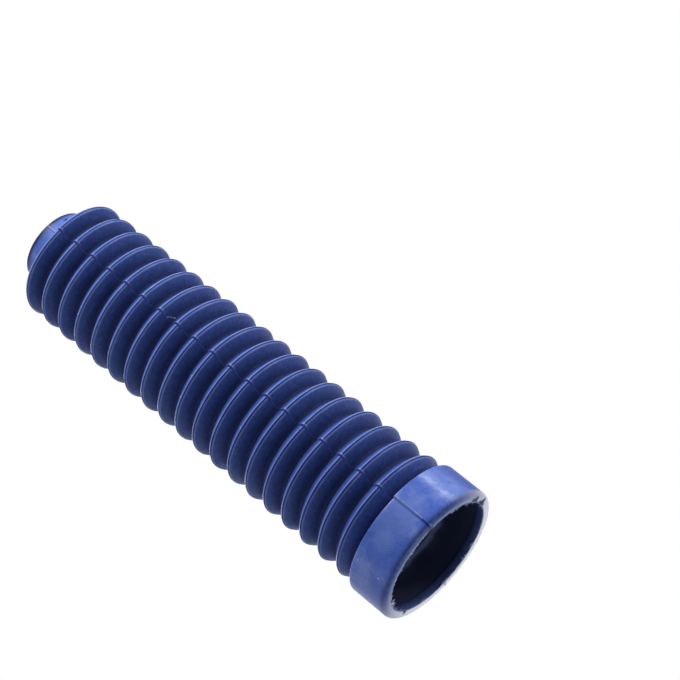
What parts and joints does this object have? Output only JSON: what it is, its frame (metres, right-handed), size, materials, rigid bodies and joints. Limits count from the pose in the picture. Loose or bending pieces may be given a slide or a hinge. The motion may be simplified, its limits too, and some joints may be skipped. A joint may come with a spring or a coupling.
{
  "type": "fork gaiter",
  "caption": "Blue rubber bellows gaiter for a motorbike fork: ribbed tapering tube with a wide plain collar at one end and a short narrow neck at the other.",
  "frame": {"origin": "centre of the open end of the wide collar, in the plane of its flat end face", "axes": "+Z along the bellows from the wide collar to the narrow neck, X and Y across it"},
  "size_m": [0.0632, 0.0632, 0.2292],
  "materials": {
    "blue_rubber": "matt moulded rubber with a soft sheen"
  },
  "bodies": {
    "root": {"gaiter": "blue_rubber"}
  },
  "joints": []
}
